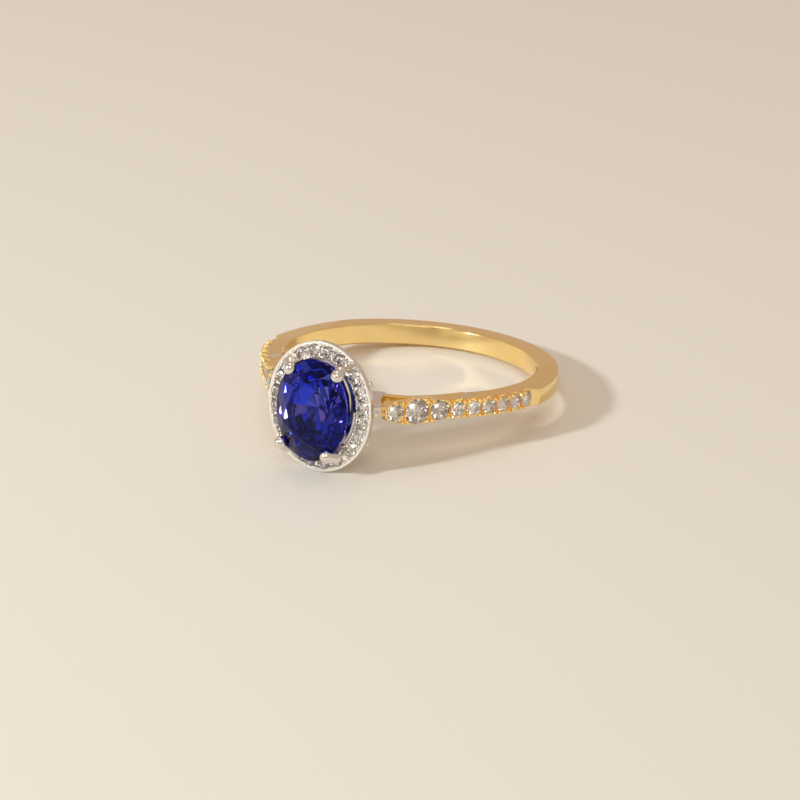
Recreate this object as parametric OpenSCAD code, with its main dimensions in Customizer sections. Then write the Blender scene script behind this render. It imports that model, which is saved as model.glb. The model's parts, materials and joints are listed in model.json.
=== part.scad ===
// Halo engagement ring: a plain gold band whose stone-set shoulders fork into a raised rail and an
// under rail, and a white metal head that holds an oval sapphire inside a halo of small brilliants.
//
// Every piece is modelled in the bench frame of the ring: the origin is the centre of the finger
// hole, +Z points up to the centre stone and +Y runs along the finger.  rest_pose() then lays the
// finished ring on its side, the way it lies on a table: the finger axis points up, and the head
// leans it back a little, because the halo reaches lower than the band does.

/* [Band] */
// Inside diameter of the finger hole
bore_d = 16.5; // [15.7:0.1:18.1]
// Width of the band along the finger
band_w = 1.4; // [1.3:0.05:1.6]
// Thickness of the band at the back of the finger
band_t = 1.45; // [1.41:0.02:1.55]
// How much thicker it has grown at the sides
band_swell = 0.15; // [0.1:0.01:0.2]
// Width of its outer wall at the sides, where the band is slimmer
side_w = 1.0; // [0.9:0.02:1.1]
// Chamfer along the edges of the band
band_edge = 0.13; // [0.08:0.01:0.18]

/* [Shoulders] */
// Diameters of the shoulder stones, counted from the head
shoulder_d = [1.1, 1.6, 1.28, 0.96, 0.96, 0.96, 0.96, 0.96, 1.02];
// Gap between neighbouring shoulder stones
shoulder_gap = 0.12; // [0.11:0.01:0.15]
// Width of the set shoulder at its stones
row_w = 1.18; // [1.12:0.02:1.24]
// Depth of the raised rail where it meets the head
neck_depth = 0.6; // [0.55:0.05:0.7]
// Thickness of the under rail that follows the finger
under_t = 0.5; // [0.45:0.05:0.6]

/* [Head] */
// Length of the oval sapphire
sapphire_l = 6.5; // [6.3:0.05:6.6]
// Width of the oval sapphire
sapphire_w = 5.0; // [4.8:0.05:5.1]
// Height of the sapphire's girdle above the finger hole
girdle_rise = 4.3; // [4.26:0.02:4.4]
// Height of the halo's upper face above the finger hole
halo_rise = 3.42; // [3.36:0.02:3.46]
// Length of the oval line of halo stones
halo_l = 7.06; // [7.02:0.02:7.14]
// Width of the oval line of halo stones
halo_w = 6.08; // [6.04:0.02:6.14]
// Width of the halo's tray
tray_w = 1.24; // [1.2:0.02:1.28]
// Diameter of one halo stone
halo_d = 0.9; // [0.84:0.01:0.92]

/* [Hidden] */
$fn = 48;
gold = [0.86, 0.66, 0.33];
white_metal = [0.82, 0.81, 0.79];
diamond = [0.93, 0.95, 0.97];
blue = [0.07, 0.10, 0.55];

// Proportions of the round stones, as shares of their width
TABLE = 0.56;
CROWN = 0.15;
GIRDLE = 0.035;
PAVILION = 0.43;
STAR_R = 0.73;
LOW_R = 0.3;
seat_play = 0.012;      // how much wider a seat is cut than its stone

// The sapphire's pavilion bulges: steps as [share of the girdle's size, depth below it]
GEM_CROWN = 0.14;
GEM_STEPS = [[0.975, 0.32], [0.87, 0.95], [0.62, 1.6], [0.3, 2.1]];
gem_depth = 2.35;       // depth of the culet below the girdle

bore_r = bore_d / 2;
back_r = bore_r + band_t;
band_r = back_r + band_swell;           // radius of the outer wall, whose centre lies towards the head
girdle_r = back_r - 0.26;               // radius at which the shoulder stones' girdles lie
cheek_r = girdle_r + 0.03;              // the set shoulder's metal ends at this radius
slim_x = bore_r - 0.25;                 // the band slims down outside this distance from its middle
hole_edge = 0.1;                        // chamfer at the mouths of the finger hole
crown_r = 1.6;                          // the outer wall is crowned to this radius

// Heights in the head
halo_top = bore_r + halo_rise;
tray_wall = 0.36;                       // depth of the tray's upright wall
tray_taper = 0.36;                      // depth of the tapered part below it
tray_low = halo_top - tray_wall - tray_taper;
girdle_top = bore_r + girdle_rise;
tray_out = [halo_w / 2 + tray_w / 2, halo_l / 2 + tray_w / 2];
tray_in = [halo_w / 2 - tray_w / 2, halo_l / 2 - tray_w / 2];

// The raised rail is the straight line that leaves the girdle circle and ends under the halo's edge
rail_end = [tray_out[0] - 0.2, tray_low];
rail_deg = atan2(rail_end[1], rail_end[0]) - acos(girdle_r / norm(rail_end));
rail_len = sqrt(pow(norm(rail_end), 2) - pow(girdle_r, 2));
end_block = 0.87;                       // bare length between the rail's end and the first stone
gold_end = end_block - 0.1;             // yellow gold starts this far from the rail's end
neck_w = 0.9;                           // width of the raised rail there
fork_deg = 36;                          // where the under rail starts
under_end_deg = 72;                     // where the under rail meets the head
under_wide_x = 6.6;                     // the under rail narrows from here ...
under_thin_x = 3.9;                     // ... to here
under_thin_w = 0.92;                    // its width there
fork_depth = 1.32;                      // depth of the raised rail where the fork opens
fork_s = 3.35;                          // that place's distance from the rail's end
taper_deg = [2.6, 13.2];                // slants of the raised rail's side faces
leaf_half = 0.81;                       // half width of the raised rail beside its largest stone
leaf_curve = 6;                         // radius of that leaf-shaped swelling
block_drop = 0.45;                      // the white end of the rail lies this far below the gold
block_bead = 0.15;                      // radius of the two beads on that end
link_fillet = 0.14;                     // fillet of the bracket's inner corners
bright_w = 1.2;                         // side of the square cutter that bevels the plain band's start
grain_r = 0.12;
grain_spread = 0.18;                    // half the distance between the grains of a pair
grain_foot = -0.35;                     // their posts start this far below the girdles
grain_rise = 0.2;                       // and their beads' centres lie this far above them
slot_w = 0.1;                           // saw cut between two stones
slot_depth = 0.24;                      // its depth below the girdles
notch_r = 0.26;                         // notch in the wall beside a stone ...
notch_rise = 0.08;                      // ... and how far above the girdle its centre lies

// Distance of each shoulder stone from the rail's end, along the rail and then the band
function shoulder_s(i) = i == 0
    ? end_block + shoulder_d[0] / 2
    : shoulder_s(i - 1) + (shoulder_d[i - 1] + shoulder_d[i]) / 2 + shoulder_gap;
shoulder_n = len(shoulder_d);
stone_s = [for (i = [0 : shoulder_n - 1]) shoulder_s(i)];
set_end_s = stone_s[shoulder_n - 1] + shoulder_d[shoulder_n - 1] / 2 + 0.04;

// Angle of a place on the band past the straight rail
function arc_deg(s) = rail_deg - (s - rail_len) * 180 / PI / girdle_r;
plain_deg = arc_deg(set_end_s);         // where the plain band starts

// Half width of the set shoulder's outer face: straight, with a leaf-shaped swelling
function leaf_at(s) = leaf_half - leaf_curve + sqrt(pow(leaf_curve, 2) - pow(s - stone_s[1], 2));
function half_width(s) = abs(s - stone_s[1]) > leaf_curve ? row_w / 2 : max(row_w / 2, leaf_at(s));

// Halo stones are spaced evenly along their oval, with a wider gap where a claw passes
halo_pitch = 0.98;
function oval_speed(t) = norm([halo_w / 2 * sin(t), halo_l / 2 * cos(t)]) * PI / 180;
function oval_len(t0, t1) = t0 >= t1 ? 0 : oval_speed(t0 + 0.5) + oval_len(t0 + 1, t1);
function oval_deg(s, t = 0) = s <= oval_speed(t) * 0.5 ? t : oval_deg(s - oval_speed(t) * 0.5, t + 0.5);
quarter = oval_len(0, 90);
quarter_deg = concat([for (k = [0 : 2]) oval_deg((k + 0.5) * halo_pitch)],
                     [for (k = [1, 0]) oval_deg(quarter - (k + 0.5) * halo_pitch)]);
half_deg = concat(quarter_deg, [for (k = [4 : -1 : 0]) 180 - quarter_deg[k]]);
halo_deg = concat(half_deg, [for (t = half_deg) t + 180]);
halo_n = len(halo_deg);
halo_sink = 0.02;                       // the girdles lie this far below the tray's upper face
halo_grain_r = 0.105;
halo_spread = 0.1;                      // half the distance between the halo's grains of a pair
curl_deg = 28;                          // a small curl under the tray, one in each quarter
curl_r = 0.2;
function by_claw(k) = k % 10 == 2 || k % 10 == 6;   // a claw passes between stones k and k + 1

// Claws
claw_deg = (quarter_deg[2] + quarter_deg[3]) / 2;
claw_r = [0.26, 0.34];                  // radius at the foot and at the shoulder
tip_r = 0.42;
// Each tip is bent over by hand: how far out it ends across and along the stone
TIP_BEND = [[0.24, 0], [-0.02, -0.1], [0.4, -0.12], [-0.2, 0.13]];
function on_oval(size, t) = [size[0] * cos(t), size[1] * sin(t)];
function oval_normal(size, t) = let (v = [cos(t) / size[0], sin(t) / size[1]]) v / norm(v);
gem = [sapphire_w / 2, sapphire_l / 2];
claw_top = on_oval(gem, claw_deg) + 0.3 * oval_normal(gem, claw_deg);
claw_tip = on_oval(gem, claw_deg) - 0.02 * oval_normal(gem, claw_deg);
claw_foot = [1.05, 1.5];
claw_knee = [claw_top[0], claw_top[1], girdle_top - 0.1];
base_top = bore_r + 1.0;
base_low = bore_r + 0.3;                // the base clears the finger by this much
link_low = bore_r + 0.06;               // and the brackets by this much
base_out = [1.7, 2.15];
rail_wall = 0.55;
gallery_top = bore_r + 2.1;
gallery_h = 0.4;
gallery_out = [2.05, 2.66];
link_w = [1.16, 0.56];                  // width of a bracket at the finger and under the halo

// The lean that lays the halo's back edge and the back of the band on one plane
lean = atan((tray_out[1] - band_w / 2) / (halo_top - tray_wall + back_r - band_edge));

function two_digits(k) = str(k < 10 ? "0" : "", k);
function halo_name(k) = str("halo_diamond_", two_digits(k + 1));
function shoulder_name(side, k) = str("shoulder_diamond_", side, "_", k + 1);
SIDES = ["right", "left"];
CLAWS = ["upper_right", "upper_left", "lower_left", "lower_right"];

// ---- Placing ---------------------------------------------------------------------------------

// Lays the finished ring on its side
module rest_pose() rotate([90 - lean, 0, 0]) children();

// A flat shape drawn in the plane of the ring, thickened along the finger
module across(width) rotate([90, 0, 0]) linear_extrude(width, center = true) children();

// Puts children on the shoulder, s along it from the head: +Z away from the finger, +X to the back
module on_shoulder(s) {
    straight = s < rail_len;
    deg = straight ? rail_deg : arc_deg(s);
    run = straight ? rail_len - s : 0;
    rotate([0, -deg, 0]) translate([girdle_r, 0, run]) rotate([0, 90, 0]) children();
}

// Puts children on the halo's oval: +Z towards the viewer of the gem, +X outwards
module on_halo(t) {
    p = on_oval([halo_w / 2, halo_l / 2], t);
    n = oval_normal([halo_w / 2, halo_l / 2], t);
    translate([p[0], p[1], halo_top - halo_sink]) rotate([0, 0, atan2(n[1], n[0])]) children();
}

// The left shoulder is the right one mirrored
module mirrored(side) mirror([side == "left" ? 1 : 0, 0, 0]) children();

// ---- Shared shapes ---------------------------------------------------------------------------

module oval_prism(size, h) linear_extrude(h) polygon([for (k = [0 : 71]) on_oval(size, 5 * k)]);

module oval_ring(out, wall, h) difference() {
    oval_prism(out, h);
    translate([0, 0, -1]) oval_prism([out[0] - wall, out[1] - wall], h + 2);
}

// Heights in a round stone of width w, from the table to the culet
function stone_z(w) = let (
        g = GIRDLE * w / 2,
        culet = -g - PAVILION * w,
        table = g + CROWN * w,
        low = -g + (1 - LOW_R * cos(22.5)) * (culet + g))
    [table, star_z(g, table), g, -g, low, culet];
function star_z(g, table) = table - (STAR_R * cos(22.5) - TABLE) / (1 - TABLE) * (table - g);

// Corners of an n-sided oval ring of a stone, r times its size, at height z
function ring(size, n, r, z, turn = 0) =
    [for (k = [0 : n - 1]) let (a = 360 * k / n + turn) [size[0] * r * cos(a), size[1] * r * sin(a), z]];

// Faces are listed clockwise seen from above, so that a stone's own lists can run the other way
module stone(points, faces) polyhedron(points, [for (f = faces) [for (k = [len(f) - 1 : -1 : 0]) f[k]]]);

// Facets of an eight-fold crown whose girdle has two or four corners to each eighth
function crown_faces(m) = concat(
    [[for (k = [0 : 7]) k]],
    [for (k = [0 : 7]) [k, 8 + k, (k + 1) % 8]],
    [for (k = [0 : 7]) [k, 8 + (k + 7) % 8, 16 + m * k, 8 + k]],
    [for (k = [0 : 7]) for (j = [0 : m - 1]) [8 + k, 16 + m * k + j, 16 + (m * k + j + 1) % (8 * m)]]);

// Side facets between two rings of n corners, the upper one starting at corner a
function band_faces(n, a, b) = [for (k = [0 : n - 1]) [a + k, b + k, b + (k + 1) % n, a + (k + 1) % n]];

// Round brilliant of width w with its girdle at z = 0
module brilliant(w) {
    size = [w, w] / 2;
    z = stone_z(w);
    points = concat(
        ring(size, 8, TABLE, z[0]),             //  0 table
        ring(size, 8, STAR_R, z[1], 22.5),      //  8 feet of the star facets
        ring(size, 16, 1, z[2]),                // 16 upper edge of the girdle
        ring(size, 16, 1, z[3]),                // 32 lower edge of the girdle
        ring(size, 8, LOW_R, z[4], 22.5),       // 48 feet of the lower halves
        [[0, 0, z[5]]]);                        // 56 culet
    stone(points, concat(crown_faces(2), band_faces(16, 16, 32),
        [for (k = [0 : 7]) [32 + 2 * k, 48 + k, 33 + 2 * k]],
        [for (k = [0 : 7]) [33 + 2 * k, 48 + k, 32 + (2 * k + 2) % 16]],
        [for (k = [0 : 7]) [32 + 2 * k, 48 + (k + 7) % 8, 56, 48 + k]]));
}

// Oval stone with a brilliant crown over a stepped, bulging pavilion, its girdle at z = 0
module oval_gem(size) {
    g = GIRDLE * size[0];
    table = g + GEM_CROWN * 2 * size[0];
    steps = len(GEM_STEPS);
    points = concat(
        ring(size, 8, TABLE, table),                        //  0 table
        ring(size, 8, STAR_R, star_z(g, table), 22.5),      //  8 feet of the star facets
        ring(size, 32, 1, g),                               // 16 upper edge of the girdle
        ring(size, 32, 1, -g),                              // 48 lower edge of the girdle
        [for (s = GEM_STEPS) each ring(size, 16, s[0], -s[1])], // 80 steps of the pavilion
        [[0, 0, -gem_depth]]);                              // culet
    last = 64 + 16 * steps;
    stone(points, concat(crown_faces(4), band_faces(32, 16, 48),
        [for (k = [0 : 15]) [48 + 2 * k, 80 + k, 49 + 2 * k]],
        [for (k = [0 : 15]) [49 + 2 * k, 80 + k, 80 + (k + 1) % 16]],
        [for (k = [0 : 15]) [49 + 2 * k, 80 + (k + 1) % 16, 48 + (2 * k + 2) % 32]],
        [for (j = [0 : steps - 2]) each band_faces(16, 80 + 16 * j, 96 + 16 * j)],
        [for (k = [0 : 15]) [last + k, last + 16, last + (k + 1) % 16]]));
}

// The room that a round stone of width w takes in metal: its outline turned, a little wider
module seat(w) {
    z = stone_z(w);
    r = w / 2 + seat_play;
    rotate_extrude() polygon([
        [0, z[5] - seat_play], [LOW_R * r, z[4] - seat_play], [r, z[3]],
        [r, z[2]], [STAR_R * r, z[1] + seat_play], [TABLE * r, z[0] + seat_play], [0, z[0] + seat_play]]);
}

// The same for the oval sapphire
module gem_seat() {
    r = gem[0] + seat_play;
    g = GIRDLE * gem[0];
    table = g + GEM_CROWN * 2 * gem[0];
    scale([1, (gem[1] + seat_play) / r, 1]) rotate_extrude() polygon(concat(
        [[0, table], [TABLE * r, table], [STAR_R * r, star_z(g, table) + seat_play], [r, g], [r, -g]],
        [for (s = GEM_STEPS) [r * s[0], -s[1]]],
        [[0, -gem_depth]]));
}

// A grain: a small post with a bead on its head, standing beside a stone
module grain(r, low, high) {
    translate([0, 0, low]) cylinder(r = r, h = high - low, $fn = 20);
    translate([0, 0, high]) sphere(r = r * 1.08, $fn = 20);
}

// Two pairs of grains across a gap between stones
module grain_set(spread, reach, r, low, high, xs = [-1, 1], ys = [-1, 1])
    for (x = xs) for (y = ys) translate([x * spread, y * reach, 0]) grain(r, low, high);

// ---- Shank -----------------------------------------------------------------------------------

// Section of the band's outside about its own centre: chamfered edges and a crowned outer wall
module outside_section() intersection() {
    c = band_edge;
    polygon([
        [0, -band_w / 2], [band_r - c, -band_w / 2], [band_r + c, -band_w / 2 + 2 * c],
        [band_r + c, band_w / 2 - 2 * c], [band_r - c, band_w / 2], [0, band_w / 2]]);
    translate([band_r - crown_r, 0]) circle(r = crown_r, $fn = 120);
    translate([0, -band_w]) square([2 * band_r, 2 * band_w]);
}

// The finger hole, opened a little at both mouths
module finger_hole() rotate([90, 0, 0]) {
    cylinder(r = bore_r, h = 3 * band_w, center = true, $fn = 180);
    for (side = [0, 1]) mirror([0, 0, side]) translate([0, 0, band_w / 2 - hole_edge])
        cylinder(r1 = bore_r, r2 = bore_r + 2 * hole_edge, h = 2 * hole_edge, $fn = 180);
}

// Half width of the shoulder's body at radius r: it slims towards the stones
function body_w(r) = (band_w - (band_w - row_w) * (r - bore_r) / (cheek_r - bore_r)) / 2;

// Section of the set shoulder and of the under rail, from the finger up to radius r1
module rail_section(r1) polygon([
    [bore_r, -band_w / 2 + hole_edge], [bore_r + hole_edge, -body_w(bore_r + hole_edge)],
    [r1, -body_w(r1)], [r1, body_w(r1)],
    [bore_r + hole_edge, body_w(bore_r + hole_edge)], [bore_r, band_w / 2 - hole_edge]]);

// Turns a section from angle a0 to a1 about the finger; +X is 0 and the head is at 90
module turned(a0, a1) rotate([90, 0, 0]) rotate([0, 0, a0]) rotate_extrude(angle = a1 - a0, $fn = 180)
    children();

// Outline, seen along the finger's length, that slims the band at both sides
module slim_outline() for (side = [0, 1]) mirror([side, 0]) polygon([
    [-0.1, -band_w / 2], [slim_x, -band_w / 2], [band_r, -side_w / 2], [2 * band_r, -side_w / 2],
    [2 * band_r, side_w / 2], [band_r, side_w / 2], [slim_x, band_w / 2], [-0.1, band_w / 2]]);

// The plain band is a sector of the ring: the part behind the two rows of stones
module plain_band() difference() {
    intersection() {
        translate([0, 0, band_swell]) rotate([90, 0, 0]) rotate_extrude($fn = 180) outside_section();
        linear_extrude(4 * band_r, center = true) slim_outline();
    }
    finger_hole();
    far = 2 * band_r;
    across(2 * band_w) polygon([[0, 0], far * [cos(plain_deg), sin(plain_deg)], [far, far], [-far, far],
                                far * [-cos(plain_deg), sin(plain_deg)]]);
}

// A place on the straight rail in the plane of the ring: s from its end, r from the finger's axis
function rail_point(s, r) = r * [cos(rail_deg), sin(rail_deg)]
                          + (rail_len - s) * [-sin(rail_deg), cos(rail_deg)];

// Side view of the raised rail: deep where it leaves the band and slender at the head
module rail_side() difference() {
    polygon([
        rail_point(rail_len + 0.4, cheek_r - 0.3), rail_point(rail_len, cheek_r),
        rail_point(gold_end, cheek_r), rail_point(gold_end, cheek_r - neck_depth),
        rail_point((gold_end + fork_s) / 2, cheek_r - (neck_depth + fork_depth) / 2 + 0.1),
        rail_point(fork_s, cheek_r - fork_depth), rail_point(rail_len + 0.4, cheek_r - 1.8)]);
    circle(r = bore_r, $fn = 180);
}

// Body of the straight rail: the set shoulder's section carried on towards the head
module rail_body() rotate([0, -rail_deg, 0]) linear_extrude(rail_len - stone_s[1]) polygon([
    [0, -band_w / 2], [bore_r, -band_w / 2], [cheek_r, -row_w / 2],
    [cheek_r, row_w / 2], [bore_r, band_w / 2], [0, band_w / 2]]);

// Leaf-shaped swelling around the first stones
module rail_leaf() rotate([180, -90 - rail_deg, 0]) linear_extrude(band_r)
    translate([rail_len - stone_s[1], 0]) intersection() {
        translate([0, leaf_half - leaf_curve]) circle(r = leaf_curve, $fn = 180);
        translate([0, leaf_curve - leaf_half]) circle(r = leaf_curve, $fn = 180);
        square([2 * stone_s[1], 2 * leaf_half], center = true);
    }

// Slanting cuts that narrow the rail's inner edge towards the head
module rail_taper() rotate([0, -rail_deg, 0]) for (side = [0, 1]) mirror([0, side, 0])
    translate([bore_r, band_w / 2, 0]) rotate([0, 90 - taper_deg[0], 90 + taper_deg[1]])
        translate([-band_r, -band_r, 0]) cube(2 * band_r);

module raised_rail() difference() {
    intersection() {
        across(2 * band_w) rail_side();
        union() {
            rail_body();
            rail_leaf();
        }
    }
    rail_taper();
}

// Under rail along the finger, narrowing towards the head
module under_rail() intersection() {
    turned(fork_deg, under_end_deg) rail_section(bore_r + under_t);
    linear_extrude(band_r) polygon([
        [band_r, -band_w / 2], [under_wide_x, -band_w / 2], [under_thin_x, -under_thin_w / 2],
        [0, -under_thin_w / 2], [0, under_thin_w / 2],
        [under_thin_x, under_thin_w / 2], [under_wide_x, band_w / 2], [band_r, band_w / 2]]);
}

// Middle of the gap behind stone k
function gap_s(k) = (stone_s[k] + stone_s[k + 1] + (shoulder_d[k] - shoulder_d[k + 1]) / 2) / 2;

// Grains in every gap, and a closing pair at the head's end of the row
module shoulder_grains() {
    for (k = [0 : shoulder_n - 2]) on_shoulder(gap_s(k))
        grain_set(grain_spread, half_width(gap_s(k)) - grain_r - 0.02, grain_r, grain_foot, grain_rise);
    on_shoulder(gold_end + grain_r + 0.02)
        grain_set(0, neck_w * 0.38, grain_r, grain_foot, grain_rise / 2, [1]);
}

module shoulder() {
    turned(plain_deg, rail_deg) rail_section(cheek_r);
    raised_rail();
    under_rail();
}

// Bevel that ends the row of stones at the plain band
module bright_cut() on_shoulder(set_end_s) translate([0, 0, bright_w * sqrt(0.5)]) rotate([0, 45, 0])
    cube([bright_w, 2 * band_w, bright_w], center = true);

// Saw cuts between the stones, and notches that lay the stones' edges bare
module shoulder_cuts() {
    for (k = [0 : shoulder_n - 2]) on_shoulder(gap_s(k)) translate([0, 0, 0.5 - slot_depth])
        cube([slot_w, 2 * band_w, 1], center = true);
    for (k = [0 : shoulder_n - 1]) on_shoulder(stone_s[k]) translate([0, 0, notch_rise])
        rotate([90, 0, 0]) cylinder(r = notch_r, h = 2 * band_w, center = true, $fn = 32);
}

module shank() color(gold) rest_pose() {
    difference() {
        union() {
            plain_band();
            for (side = SIDES) mirrored(side) shoulder();
        }
        for (side = SIDES) mirrored(side) {
            for (k = [0 : shoulder_n - 1]) on_shoulder(stone_s[k]) seat(shoulder_d[k]);
            shoulder_cuts();
            bright_cut();
        }
    }
    for (side = SIDES) mirrored(side) shoulder_grains();
}

// ---- Head ------------------------------------------------------------------------------------

// Runs children for each of the four quarters of the head
module quarters() for (x = [0, 1]) for (y = [0, 1]) mirror([x, 0, 0]) mirror([0, y, 0]) children();

// One claw's leg in the first quarter
module claw_leg() {
    tapered([claw_foot[0], claw_foot[1], base_top - 0.6], claw_knee, claw_r[0], claw_r[1]);
    translate(claw_knee) sphere(r = claw_r[1] * 1.04, $fn = 32);
}

// Its rounded tip, bent over the stone
module claw_end(bend) {
    tip = [claw_tip[0] + bend[0], claw_tip[1] + bend[1], girdle_top + 0.3];
    tapered(claw_knee, tip, claw_r[1], tip_r * 0.94);
    translate(tip) sphere(r = tip_r, $fn = 32);
}

// Straight tapered bar between two points
module tapered(a, b, r0, r1) {
    v = b - a;
    translate(a) rotate([0, acos(v[2] / norm(v)), atan2(v[1], v[0])])
        cylinder(r1 = r0, r2 = r1, h = norm(v), $fn = 32);
}

module claw(k) color(white_metal) rest_pose() difference() {
    mirror([k == 1 || k == 2 ? 1 : 0, 0, 0]) mirror([0, k > 1 ? 1 : 0, 0]) {
        claw_leg();
        claw_end(TIP_BEND[k]);
    }
    translate([0, 0, girdle_top]) gem_seat();
}

module halo_grains() {
    for (k = [0 : halo_n - 1]) {
        next = halo_deg[(k + 1) % halo_n] + (k == halo_n - 1 ? 360 : 0);
        on_halo((halo_deg[k] + next) / 2) rotate([0, 0, 90])
            grain_set(halo_spread * (by_claw(k) ? 2 : 1), halo_d * 0.4, halo_grain_r, -0.3, 0.05,
                      ys = by_claw(k) ? [-1] : [-1, 1]);
    }
}

// Small curl under the tray's outer wall
module halo_curl() {
    inset = 0.6 * curl_r;
    p = on_oval([tray_out[0] - inset, tray_out[1] - inset], curl_deg);
    translate([p[0], p[1], tray_low + inset]) sphere(r = curl_r, $fn = 24);
}

module halo_frame() color(white_metal) rest_pose() difference() {
    union() {
        translate([0, 0, halo_top - tray_wall]) oval_prism(tray_out, tray_wall);
        translate([0, 0, tray_low + tray_taper]) mirror([0, 0, 1])
            linear_extrude(tray_taper, scale = 0.92) polygon([for (k = [0 : 71]) on_oval(tray_out, 5 * k)]);
        halo_grains();
        quarters() halo_curl();
    }
    translate([0, 0, tray_low - 1]) oval_prism(tray_in, 3);
    for (t = halo_deg) on_halo(t) seat(halo_d);
    quarters() claw_leg();
}

module gallery_rail() color(white_metal) rest_pose() difference() {
    translate([0, 0, gallery_top - gallery_h]) oval_ring(gallery_out, rail_wall, gallery_h);
    quarters() claw_leg();
}

// Base of the head, arched underneath to follow the finger
module base_rail() color(white_metal) rest_pose() difference() {
    translate([0, 0, base_low - 0.3]) oval_ring(base_out, rail_wall, base_top - base_low + 0.3);
    rotate([90, 0, 0]) cylinder(r = base_low, h = 8, center = true, $fn = 180);
    quarters() claw_leg();
}

// Side view of the right-hand bracket between the shoulder's two rails and the head
module link_outline() {
    under = [cos(under_end_deg), sin(under_end_deg)];
    rail_foot = rail_point(gold_end, cheek_r - neck_depth);
    offset(r = -link_fillet, $fn = 24) offset(delta = link_fillet) polygon([
        // the under rail's end and the corner of the fork
        bore_r * under, (bore_r + under_t) * under, (bore_r + under_t) * under + [0.12, 0.55],
        // the raised rail's end
        rail_foot - [0.4, 0.4], rail_foot, rail_point(gold_end, cheek_r - block_drop),
        // under the halo's tray
        [rail_end[0] - 0.46, tray_low], [tray_in[0] + 0.12, tray_low],
        // round the gallery rail
        [gallery_out[0] + 0.3, gallery_top + 0.25], [gallery_out[0] - 0.2, gallery_top],
        [gallery_out[0] - 0.2, gallery_top - gallery_h], [gallery_out[0] + 0.1, base_top + 0.3],
        // down the side of the base
        [base_out[0] - 0.1, base_top - 0.1], [base_out[0] - 0.1, link_low]]);
}

// The bracket seen from its end: wide at the finger, narrow under the halo
module link_width() {
    w = link_w / 2;
    polygon([[-w[0], 0], [w[0], 0], [w[0], link_low], [w[1], gallery_top],
             [w[1], halo_top], [-w[1], halo_top], [-w[1], gallery_top], [-w[0], link_low]]);
}

// Bracket that joins the forked shoulder to the halo, the gallery rail and the base
module shoulder_link(side) color(white_metal) rest_pose() mirrored(side) difference() {
    union() {
        intersection() {
            across(2 * link_w[0]) link_outline();
            rotate([90, 0, 90]) linear_extrude(band_r) link_width();
        }
        for (s = [0.25, 0.58]) rotate([0, -rail_deg, 0])
            translate([cheek_r - block_drop, 0, rail_len - s]) sphere(r = block_bead, $fn = 24);
    }
    translate([0, 0, bore_r - 1]) oval_prism(base_out, base_top - bore_r + 1);
    translate([0, 0, gallery_top - gallery_h]) oval_prism(gallery_out, gallery_h);
    translate([0, 0, tray_low]) oval_prism(tray_out, 1);
    rotate([90, 0, 0]) cylinder(r = link_low, h = 8, center = true, $fn = 180);
}

// ---- Stones ----------------------------------------------------------------------------------

module centre_sapphire() color(blue) rest_pose()
    translate([0, 0, girdle_top]) oval_gem(gem);

module halo_diamond(k) color(diamond) rest_pose() on_halo(halo_deg[k]) brilliant(halo_d);

module shoulder_diamond(side, k) color(diamond) rest_pose() mirrored(side)
    on_shoulder(stone_s[k]) brilliant(shoulder_d[k]);

// ---- Assembly --------------------------------------------------------------------------------

shank();
halo_frame();
gallery_rail();
base_rail();
shoulder_link("right");  // shoulder_link_right
shoulder_link("left");  // shoulder_link_left
for (k = [0 : 3]) claw(k);
centre_sapphire();
for (k = [0 : halo_n - 1])
    halo_diamond(k);
for (side = SIDES) for (k = [0 : shoulder_n - 1])
    shoulder_diamond(side, k);
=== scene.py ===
"""Workbench add-on that finishes a halo engagement ring: polished metals, faceted stones and a stage.

The ring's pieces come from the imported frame.  Every size below that is given in millimetres is turned
into metres by MM.  The finger hole's centre is the origin, and the centre stone faces -Y.
"""

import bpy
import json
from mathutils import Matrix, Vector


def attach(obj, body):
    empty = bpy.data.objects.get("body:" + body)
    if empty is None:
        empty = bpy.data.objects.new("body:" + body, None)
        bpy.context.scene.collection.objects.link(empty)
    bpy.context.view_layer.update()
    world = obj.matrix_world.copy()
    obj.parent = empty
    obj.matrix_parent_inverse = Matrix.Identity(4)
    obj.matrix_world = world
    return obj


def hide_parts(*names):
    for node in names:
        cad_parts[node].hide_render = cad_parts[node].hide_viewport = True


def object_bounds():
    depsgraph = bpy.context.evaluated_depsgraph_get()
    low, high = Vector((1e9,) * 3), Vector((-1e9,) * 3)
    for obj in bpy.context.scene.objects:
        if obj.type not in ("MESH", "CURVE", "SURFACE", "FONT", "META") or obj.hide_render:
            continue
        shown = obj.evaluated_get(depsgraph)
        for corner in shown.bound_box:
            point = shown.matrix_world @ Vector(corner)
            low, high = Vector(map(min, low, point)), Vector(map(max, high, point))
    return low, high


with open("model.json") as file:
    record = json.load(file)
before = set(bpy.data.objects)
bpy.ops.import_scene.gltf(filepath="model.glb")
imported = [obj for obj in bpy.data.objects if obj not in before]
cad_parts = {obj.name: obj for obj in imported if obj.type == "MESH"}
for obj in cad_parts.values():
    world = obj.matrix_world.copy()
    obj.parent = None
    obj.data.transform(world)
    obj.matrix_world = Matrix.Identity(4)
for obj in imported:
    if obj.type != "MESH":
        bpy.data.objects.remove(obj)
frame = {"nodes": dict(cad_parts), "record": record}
cad_box = [list(corner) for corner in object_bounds()]

import json
import math

import bmesh
import bpy
from bpy.props import FloatProperty, FloatVectorProperty, PointerProperty
from mathutils import Matrix, Vector

bl_info = {
    "name": "Halo Ring Workbench",
    "version": (1, 0, 0),
    "blender": (4, 5, 0),
    "location": "3D View > Sidebar > Ring",
    "description": "Polishes the pieces of a halo ring, gives its stones their optics and sets the stage",
    "category": "Object",
}

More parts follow.
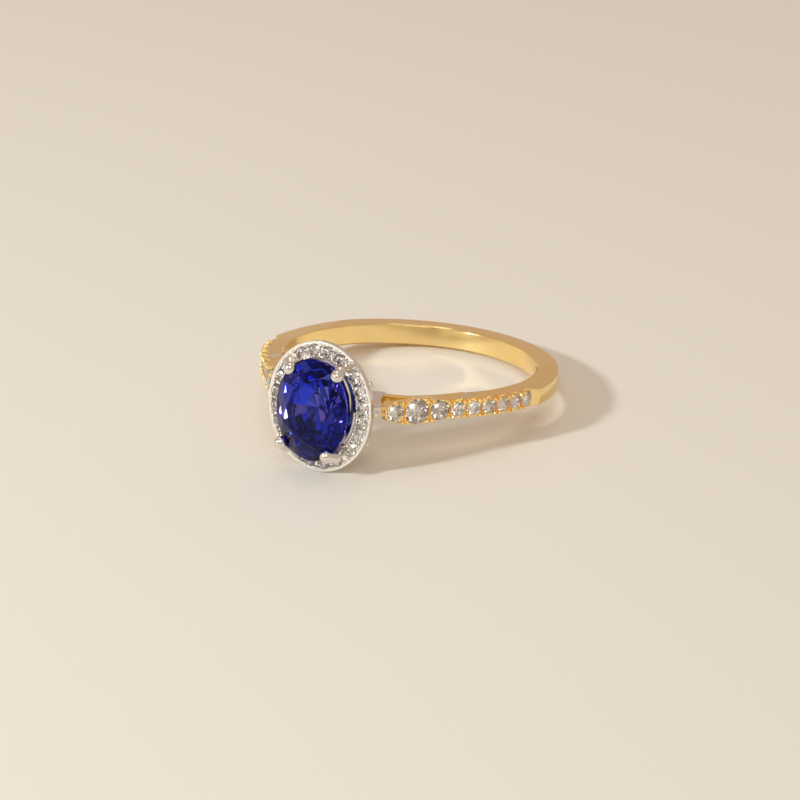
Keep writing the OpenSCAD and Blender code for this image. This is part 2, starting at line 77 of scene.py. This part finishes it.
MM = 0.001
FINGER_AXIS = Vector(frame["record"]["mounts"][0]["axis"]).normalized()
HEAD_AXIS = Vector((1, 0, 0)).cross(FINGER_AXIS)
CROWN_START = 12.43   # where the sapphire's pavilion ends, in millimetres along HEAD_AXIS
CROWN_BLEND = 0.04    # how far the change from its pavilion to its crown reaches, in millimetres
NODES = sorted(frame["nodes"])
GOLD_PIECES = ["shank"]
HEAD_PIECES = ["halo_frame", "gallery_rail", "base_rail", "shoulder_link_right", "shoulder_link_left"]
CLAW_PIECES = [name for name in NODES if name.startswith("claw_")]
BRILLIANTS = [name for name in NODES if "_diamond_" in name]
FLOOR_HEIGHT = cad_box[0][2]
FLOOR_REACH = 3000 * MM
SENSOR_WIDTH = 36  # of the camera, in millimetres
ROOM_BACK = Vector((-0.35, 0.8, 0.5)).normalized()  # direction of the room's warmer, upper back
LAMPS = {  # place and side of each soft light in millimetres, and its colour
    "key": ((-165, -258, 168), 30, (0.94, 0.98, 1.0)),
    "top": ((-50, 100, 500), 300, (1.0, 0.95, 0.88)),
    "fill": ((200, -400, 420), 220, (1.0, 0.97, 0.93)),
}


# ---- Settings --------------------------------------------------------------------------------


class RingMetalSettings(bpy.types.PropertyGroup):
    """Colours and finishes of the two metals"""

    gold: FloatVectorProperty(
        name="Yellow gold", description="Colour that polished yellow gold reflects",
        subtype="COLOR", size=3, min=0, max=1, default=(1.0, 0.75, 0.34))
    white: FloatVectorProperty(
        name="White metal", description="Colour that the plated white metal reflects",
        subtype="COLOR", size=3, min=0, max=1, default=(0.82, 0.79, 0.74))
    polish: FloatProperty(
        name="Polish", description="Roughness of the polished walls",
        subtype="FACTOR", min=0, max=1, default=0.12)
    satin: FloatProperty(
        name="Satin", description="Roughness of the lapped side faces",
        subtype="FACTOR", min=0, max=1, default=0.26)
    edge: FloatProperty(
        name="Edge wear", description="Radius to which polishing has rounded the edges",
        subtype="DISTANCE", unit="LENGTH", min=0, max=0.2 * MM, default=0.035 * MM, precision=6)


class RingStoneSettings(bpy.types.PropertyGroup):
    """Colours and optics of the stones"""

    sapphire: FloatVectorProperty(
        name="Sapphire", description="Body colour of the centre stone",
        subtype="COLOR", size=3, min=0, max=1, default=(0.14, 0.18, 0.8))
    violet: FloatVectorProperty(
        name="Violet zones", description="Colour of the stone's paler growth zones",
        subtype="COLOR", size=3, min=0, max=1, default=(0.24, 0.17, 0.68))
    sapphire_index: FloatProperty(
        name="Sapphire's index", description="Refractive index of sapphire", min=1, max=3, default=1.77)
    diamond_index: FloatProperty(
        name="Brilliants' index", description="Refractive index of diamond", min=1, max=3, default=2.42)


class RingStageSettings(bpy.types.PropertyGroup):
    """Camera, floor and lights"""

    azimuth: FloatProperty(
        name="Azimuth", description="How far the camera stands round to the ring's right",
        subtype="ANGLE", unit="ROTATION", default=math.radians(29.387))
    elevation: FloatProperty(
        name="Elevation", description="How far the camera looks down",
        subtype="ANGLE", unit="ROTATION", default=math.radians(24.562))
    roll: FloatProperty(
        name="Roll", description="Turn of the camera about its line of sight",
        subtype="ANGLE", unit="ROTATION", default=math.radians(-1.257))
    distance: FloatProperty(
        name="Distance", description="Distance of the camera from the finger hole",
        subtype="DISTANCE", unit="LENGTH", default=180 * MM)
    aim: FloatVectorProperty(
        name="Aim", description="Where the camera's axis passes the finger hole, across and up",
        subtype="XYZ", unit="LENGTH", size=2, default=(-0.6205 * MM, -2.1501 * MM))
    lens: FloatProperty(
        name="Lens", description="Focal length on a sensor 36 mm wide",
        subtype="DISTANCE_CAMERA", default=124.19)
    floor: FloatVectorProperty(
        name="Floor", description="Colour of the floor", subtype="COLOR", size=3, min=0, max=1,
        default=(0.75, 0.73, 0.67))
    key_power: FloatProperty(
        name="Key light", description="Power of the soft light at the left", subtype="POWER",
        unit="POWER", min=0, default=0.8)
    fill_power: FloatProperty(
        name="Fill light", description="Power of the soft light at the front", subtype="POWER",
        unit="POWER", min=0, default=0.6)
    top_power: FloatProperty(
        name="Top light", description="Power of the soft light overhead", subtype="POWER",
        unit="POWER", min=0, default=0.25)


# ---- Shader tools ----------------------------------------------------------------------------


class Value:
    """A number or vector inside a material, on which Python's operators add Math nodes"""

    def __init__(self, shade, socket):
        self.shade, self.socket = shade, socket

    def _math(self, operation, *values):
        return self.shade.node("ShaderNodeMath", {"operation": operation}, dict(enumerate(values)))

    def __add__(self, other):
        return self._math("ADD", self, other)

    def __sub__(self, other):
        return self._math("SUBTRACT", self, other)

    def __rsub__(self, other):
        return self._math("SUBTRACT", other, self)

    def __mul__(self, other):
        return self._math("MULTIPLY", self, other)

    __radd__, __rmul__ = __add__, __mul__

    def __abs__(self):
        return self._math("ABSOLUTE", self)

    def between(self, low, high):
        """0 up to low, 1 from high, and a smooth slope between them"""
        return self.shade.node("ShaderNodeMapRange", {"interpolation_type": "SMOOTHSTEP"},
                               {"Value": self, "From Min": low, "From Max": high})


class Shade:
    """The nodes of a material or a world in the making"""

    def __init__(self, owner):
        self.owner = owner
        owner.use_nodes = True
        self.tree = owner.node_tree
        self.tree.nodes.clear()

    def node(self, kind, settings=None, values=None, out=0):
        """Adds a node, and returns its output of that number"""
        made = self.tree.nodes.new(kind)
        for key, setting in (settings or {}).items():
            if key == "stops":
                self._fill_ramp(made.color_ramp, setting)
            else:
                setattr(made, key, setting)
        for key, value in (values or {}).items():
            if isinstance(value, Value):
                self.tree.links.new(value.socket, made.inputs[key])
            else:
                made.inputs[key].default_value = value
        return Value(self, made.outputs[out])

    @staticmethod
    def _fill_ramp(ramp, stops):
        while len(ramp.elements) < len(stops):
            ramp.elements.new(0.5)
        for element, (position, colour) in zip(ramp.elements, stops):
            element.position, element.color = position, (*colour, 1)

    def place(self):
        """Position on the piece in millimetres"""
        where = self.node("ShaderNodeTexCoord", out=3)
        return self.node("ShaderNodeVectorMath", {"operation": "SCALE"}, {0: where, "Scale": 1 / MM})

    def facing(self):
        """The way the surface faces, on the piece's own axes"""
        return self.node("ShaderNodeTexCoord", out=1)

    def dot(self, vector, axis):
        return self.node("ShaderNodeVectorMath", {"operation": "DOT_PRODUCT"}, {0: vector, 1: axis}, out=1)

    def stretched(self, where, scale):
        return self.node("ShaderNodeVectorMath", {"operation": "MULTIPLY"}, {0: where, 1: scale})

    def noise(self, where, scale, detail=2.0, roughness=0.5):
        return self.node("ShaderNodeTexNoise", {}, {
            "Vector": where, "Scale": scale, "Detail": detail, "Roughness": roughness})

    def along(self, axis):
        """How squarely the surface faces an axis of the piece, from 0 to 1"""
        return abs(self.dot(self.facing(), axis))

    def mix(self, factor, first, second):
        """The first colour at factor 0, the second at 1"""
        return self.node("ShaderNodeMix", {"data_type": "RGBA"}, {0: factor, 6: first, 7: second}, out=2)

    def ramp(self, share, stops):
        return self.node("ShaderNodeValToRGB", {"stops": stops}, {"Fac": share})

    def finish(self, output, surface, values):
        """Ends the nodes with a surface and its output, and returns the material or world"""
        made = self.node(surface, {}, values)
        last = self.tree.nodes.new(output)
        self.tree.links.new(made.socket, last.inputs["Surface"])
        return self.owner

    def principled(self, values):
        return self.finish("ShaderNodeOutputMaterial", "ShaderNodeBsdfPrincipled", values)


def tinted(colour, share):
    """A colour made lighter or darker by a share"""
    return (*(min(1.0, channel * share) for channel in colour), 1)


# ---- Finishes --------------------------------------------------------------------------------


def metal_finish(name, colour, polish, satin, edge, beading=0.0):
    """Polished precious metal: satin side faces that carry painted shade, a darker and deeper colour,
    rounded edges, fine polishing marks

    beading is how strongly faces that look the head's way are beaded.
    """
    shade = Shade(bpy.data.materials.new(name))
    where = shade.place()
    patches = shade.noise(where, 0.9)
    marks = shade.noise(shade.stretched(where, (9, 9, 2.2)), 2.6, detail=4, roughness=0.6)
    # Side faces that look along the finger axis are satin, and carry painted shade: a darker, deeper base
    # colour
    satin_sides_with_painted_shade = shade.along(FINGER_AXIS).between(0.9, 0.985)
    base = shade.mix(patches.between(0.35, 0.7), tinted(colour, 0.97), tinted(colour, 1.03))
    # painted shade: the side faces get a darker, deeper copy of the metal's colour
    base = shade.mix(satin_sides_with_painted_shade, base, tinted([channel ** 1.15 for channel in colour], 0.95))
    rough = polish + satin_sides_with_painted_shade * (satin - polish) + (marks - 0.5) * 0.06 + (patches - 0.5) * 0.04
    rounded = shade.node("ShaderNodeBevel", {"samples": 4}, {"Radius": edge})
    height = marks * 0.5 + shade.noise(where, 3.0) * 0.5
    if beading:
        beads = shade.node("ShaderNodeTexVoronoi", {}, {"Vector": where, "Scale": 4.6})
        height = height + (1 - beads) * shade.along(HEAD_AXIS).between(0.8, 0.95) * beading
    normal = shade.node("ShaderNodeBump", {}, {
        "Strength": 0.12, "Distance": 0.01 * MM, "Height": height, "Normal": rounded})
    return shade.principled({"Base Color": base, "Metallic": 1.0, "Roughness": rough, "Normal": normal})


SAPPHIRE_PAINTED_FACET_LIGHT = [  # painted light and shade: bright and dark tones of the pavilion's facets, from the noise's low values to its high ones
    (0.30, (0.01, 0.02, 0.25)), (0.40, (0.10, 0.24, 1.0)), (0.46, (0.01, 0.01, 0.16)),
    (0.53, (0.90, 0.84, 1.0)), (0.59, (0.02, 0.02, 0.24)), (0.69, (0.40, 0.55, 1.0))]


def sapphire_finish(stones):
    """Deep blue sapphire: a clear crown over a mirror-bright pavilion whose facets carry painted light and
    shade in bright and dark tones
    """
    shade = Shade(bpy.data.materials.new("blue_sapphire"))
    where = shade.place()
    zones = shade.noise(shade.stretched(where, (0.5, 0.9, 0.35)), 1.3, detail=1)
    crown = shade.mix(zones.between(0.42, 0.66), tinted(stones.sapphire, 1), tinted(stones.violet, 1))
    # painted light and shade: each pavilion facet gets its own bright or dark tone
    pavilion = shade.ramp(shade.noise(shade.facing(), 5.3, detail=1), SAPPHIRE_PAINTED_FACET_LIGHT)
    above = shade.dot(where, HEAD_AXIS).between(CROWN_START, CROWN_START + CROWN_BLEND)
    return shade.principled({
        "Base Color": shade.mix(above, pavilion, crown), "Metallic": 1 - above, "Roughness": 0.0,
        "IOR": stones.sapphire_index, "Transmission Weight": 1.0, "Specular Tint": (0.16, 0.18, 0.6, 1)})


BRILLIANT_PAINTED_FACET_LIGHT = [  # painted light and shade on the pavilion's facets, in the same order
    (0.36, (0.55, 0.50, 0.45)), (0.42, (1.0, 0.99, 0.98)), (0.62, (1.0, 1.0, 1.0)),
    (0.70, (0.45, 0.40, 0.36))]


def brilliant_finish(stones):
    """Clear diamond: a clear crown over mirror-bright pavilion facets that carry painted light and shade
    in bright and dark tones

    Facets that face away from the finger hole are the crown.  A surface seen from inside the stone
    gives its facing the other way round, which inside turns back.
    """
    shade = Shade(bpy.data.materials.new("clear_diamond"))
    where, facing = shade.place(), shade.facing()
    spread = shade.node("ShaderNodeVectorMath", {"operation": "MULTIPLY_ADD"}, {
        0: facing, 1: (6, 6, 6), 2: shade.stretched(where, (0.6, 0.6, 0.6))})
    # painted light and shade: each pavilion facet gets its own bright or dark tone
    pavilion = shade.ramp(shade.noise(spread, 1.0, detail=1), BRILLIANT_PAINTED_FACET_LIGHT)
    along_finger = shade.node("ShaderNodeVectorMath", {"operation": "PROJECT"}, {0: where, 1: FINGER_AXIS})
    outward = shade.node("ShaderNodeVectorMath", {"operation": "SUBTRACT"}, {0: where, 1: along_finger})
    inside = shade.node("ShaderNodeNewGeometry", out=6)
    crown = (shade.dot(facing, outward) * (1 - inside * 2)).between(-1.0, -0.4)
    return shade.principled({
        "Base Color": shade.mix(crown, pavilion, (0.98, 0.98, 0.98, 1)), "Metallic": 1 - crown,
        "Roughness": 0.0, "IOR": stones.diamond_index, "Transmission Weight": 1.0})


def floor_finish(colour):
    """Plain pale floor, a trace uneven in tone"""
    shade = Shade(bpy.data.materials.new("pale_floor"))
    tone = shade.noise(shade.place(), 0.01, detail=1)
    base = shade.mix(tone, tinted(colour, 0.985), tinted(colour, 1.015))
    return shade.principled({"Base Color": base, "Roughness": 0.7})


ROOM_TONES = [  # from the room's front to its back
    (0.0, (0.48, 0.42, 0.35)), (0.3, (0.52, 0.45, 0.37)), (0.6, (0.56, 0.46, 0.37)),
    (1.0, (0.56, 0.44, 0.37))]
BACKDROP = (0.72, 0.68, 0.6, 1)


def room_finish():
    """Even, warm light from all round, which the camera itself sees as a plain pale backdrop"""
    shade = Shade(bpy.data.worlds.new("studio"))
    backward = shade.dot(shade.node("ShaderNodeTexCoord"), ROOM_BACK)
    share = shade.node("ShaderNodeMapRange", {}, {"Value": backward, "From Min": -1})
    seen = shade.node("ShaderNodeLightPath")
    colour = shade.mix(seen, shade.ramp(share, ROOM_TONES), BACKDROP)
    return shade.finish("ShaderNodeOutputWorld", "ShaderNodeBackground", {"Color": colour})


# ---- Shapes ----------------------------------------------------------------------------------


FLAT_BELOW = math.radians(0.3)   # faces that meet at less than this lie in one flat
CREASE_ABOVE = math.radians(8)   # beside a broad flat, anything steeper is a real crease
SMOOTH_BELOW = math.radians(32)  # elsewhere, anything less steep belongs to one round form
BROAD_FLAT = 0.1 * MM * MM       # area
WELD = 0.0006 * MM               # corners that lie closer than this become one


def corners_of_broad_flats(shape):
    """The vertices of every flat larger than BROAD_FLAT"""
    broad, seen = set(), set()
    for start in shape.faces:
        if start in seen:
            continue
        flat, waiting = set(), {start}
        while waiting:
            face = waiting.pop()
            flat.add(face)
            for edge in face.edges:
                if edge.calc_face_angle(math.pi) < FLAT_BELOW:
                    waiting.update(other for other in edge.link_faces if other not in flat)
        seen |= flat
        if sum(face.calc_area() for face in flat) > BROAD_FLAT:
            broad.update(vert for face in flat for vert in face.verts)
    return broad


def placed(shape, name, finish):
    """Makes a finished bmesh an object of the scene"""
    mesh = bpy.data.meshes.new(name)
    shape.to_mesh(mesh)
    shape.free()
    mesh.materials.append(finish)
    made = bpy.data.objects.new(name, mesh)
    bpy.context.scene.collection.objects.link(made)
    return made


def welded_piece(node, finish):
    """Stands for a CAD node: a welded copy of its mesh, shaded smooth between its real edges"""
    shape = bmesh.new()
    shape.from_mesh(frame["nodes"][node].data)
    bmesh.ops.remove_doubles(shape, verts=shape.verts, dist=WELD)
    broad = corners_of_broad_flats(shape) if node in GOLD_PIECES else set()
    for edge in shape.edges:
        beside_broad = not broad.isdisjoint(edge.verts)
        edge.smooth = edge.calc_face_angle(0) < (CREASE_ABOVE if beside_broad else SMOOTH_BELOW)
    for face in shape.faces:
        face.smooth = True
    piece = placed(shape, f"{node}_polished", finish)
    if piece.data.has_custom_normals:  # they belong to the faces before the weld
        piece.data.attributes.remove(piece.data.attributes["custom_normal"])
    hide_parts(node)
    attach(piece, "root")


def give_finish(node, finish):
    """Assigns a finish to a CAD node that keeps its shape"""
    mesh = frame["nodes"][node].data
    mesh.materials.clear()
    mesh.materials.append(finish)


# ---- Operators -------------------------------------------------------------------------------


class RING_OT_shank(bpy.types.Operator):
    """Polish the yellow gold band with its stone-set, forked shoulders"""

    bl_idname = "ring.shank"
    bl_label = "Shank"

    def execute(self, context):
        metals = context.scene.ring_metals
        finish = metal_finish("yellow_gold", metals.gold, metals.polish, metals.satin, metals.edge)
        for node in GOLD_PIECES:
            welded_piece(node, finish)
        return {"FINISHED"}


class RING_OT_head(bpy.types.Operator):
    """Polish the white metal head: halo, rails, brackets and claws"""

    bl_idname = "ring.head"
    bl_label = "Head"

    def execute(self, context):
        metals = context.scene.ring_metals
        look = metals.white, metals.polish, metals.satin, metals.edge
        finish = metal_finish("white_metal", *look)
        beaded = metal_finish("beaded_white_metal", *look, beading=9.0)
        for node in HEAD_PIECES + CLAW_PIECES:
            welded_piece(node, beaded if node == "halo_frame" else finish)
        return {"FINISHED"}


class RING_OT_sapphire(bpy.types.Operator):
    """Give the centre stone its colour, its refraction and the painted light and shade on its pavilion's
    facets
    """

    bl_idname = "ring.sapphire"
    bl_label = "Sapphire"

    def execute(self, context):
        give_finish("centre_sapphire", sapphire_finish(context.scene.ring_stones))
        return {"FINISHED"}


class RING_OT_brilliants(bpy.types.Operator):
    """Give the halo's and the shoulders' small stones their refraction and the painted light and shade on
    their pavilion facets
    """

    bl_idname = "ring.brilliants"
    bl_label = "Brilliants"

    def execute(self, context):
        finish = brilliant_finish(context.scene.ring_stones)
        for node in BRILLIANTS:
            give_finish(node, finish)
        return {"FINISHED"}


def camera_axes(stage):
    """Right, up and back of the camera"""
    side, rise = stage.azimuth, stage.elevation
    right = Vector((math.cos(side), math.sin(side), 0))
    up = Vector((-math.sin(rise) * math.sin(side), math.sin(rise) * math.cos(side), math.cos(rise)))
    back = right.cross(up)
    turned_right = math.cos(stage.roll) * right + math.sin(stage.roll) * up
    return turned_right, back.cross(turned_right), back


def soft_light(name, power):
    """Square area light that faces the ring"""
    place, side, colour = LAMPS[name]
    data = bpy.data.lights.new(f"{name}_light", "AREA")
    data.size, data.energy, data.color = side * MM, power, colour
    light = bpy.data.objects.new(data.name, data)
    light.location = Vector(place) * MM
    light.rotation_euler = (-light.location).to_track_quat("-Z", "Y").to_euler()
    bpy.context.scene.collection.objects.link(light)


class RING_OT_stage(bpy.types.Operator):
    """Set up the floor, the soft light and the camera"""

    bl_idname = "ring.stage"
    bl_label = "Stage"

    def execute(self, context):
        scene = context.scene
        stage = scene.ring_stage
        self.floor(stage)
        self.camera(stage)
        scene.world = room_finish()
        soft_light("key", stage.key_power)
        soft_light("top", stage.top_power)
        soft_light("fill", stage.fill_power)
        scene.view_settings.view_transform = "Standard"
        scene.cycles.blur_glossy = 0  # keeps the light that the ring throws on the floor
        scene.cycles.max_bounces = 24
        scene.cycles.glossy_bounces = 16
        scene.cycles.transmission_bounces = 24
        return {"FINISHED"}

    @staticmethod
    def floor(stage):
        shape = bmesh.new()
        bmesh.ops.create_grid(shape, x_segments=4, y_segments=4, size=FLOOR_REACH)
        bmesh.ops.translate(shape, verts=shape.verts, vec=(0, 0, FLOOR_HEIGHT))
        placed(shape, "floor", floor_finish(stage.floor))

    @staticmethod
    def camera(stage):
        right, up, back = camera_axes(stage)
        camera = bpy.data.objects.new("camera", bpy.data.cameras.new("camera"))
        camera.data.sensor_width = SENSOR_WIDTH
        camera.data.lens = stage.lens
        camera.data.clip_start = 10 * MM
        place = stage.distance * back + stage.aim[0] * right + stage.aim[1] * up
        turn = Matrix((right, up, back)).transposed().to_4x4()
        camera.matrix_world = Matrix.Translation(place) @ turn
        bpy.context.scene.collection.objects.link(camera)
        bpy.context.scene.camera = camera


class RING_PT_workbench(bpy.types.Panel):
    """Lists the ring's pieces and their settings"""

    bl_label = "Halo ring"
    bl_idname = "RING_PT_workbench"
    bl_space_type = "VIEW_3D"
    bl_region_type = "UI"
    bl_category = "Ring"

    def draw(self, context):
        for settings in (context.scene.ring_metals, context.scene.ring_stones, context.scene.ring_stage):
            box = self.layout.box()
            for name in settings.__annotations__:
                box.prop(settings, name)
        for operator in OPERATORS:
            self.layout.operator(operator.bl_idname)


SETTINGS = {
    "ring_metals": RingMetalSettings,
    "ring_stones": RingStoneSettings,
    "ring_stage": RingStageSettings,
}
OPERATORS = [RING_OT_stage, RING_OT_shank, RING_OT_head, RING_OT_sapphire, RING_OT_brilliants]


def register():
    for group in SETTINGS.values():
        bpy.utils.register_class(group)
    for cls in [*OPERATORS, RING_PT_workbench]:
        bpy.utils.register_class(cls)
    for name, group in SETTINGS.items():
        setattr(bpy.types.Scene, name, PointerProperty(type=group))


def unregister():
    for name in SETTINGS:
        delattr(bpy.types.Scene, name)
    for cls in [RING_PT_workbench, *reversed(OPERATORS), *SETTINGS.values()]:
        bpy.utils.unregister_class(cls)


def main():
    register()
    bpy.ops.ring.stage()
    bpy.ops.ring.shank()
    bpy.ops.ring.head()
    bpy.ops.ring.sapphire()
    bpy.ops.ring.brilliants()


if __name__ == "__main__":
    main()
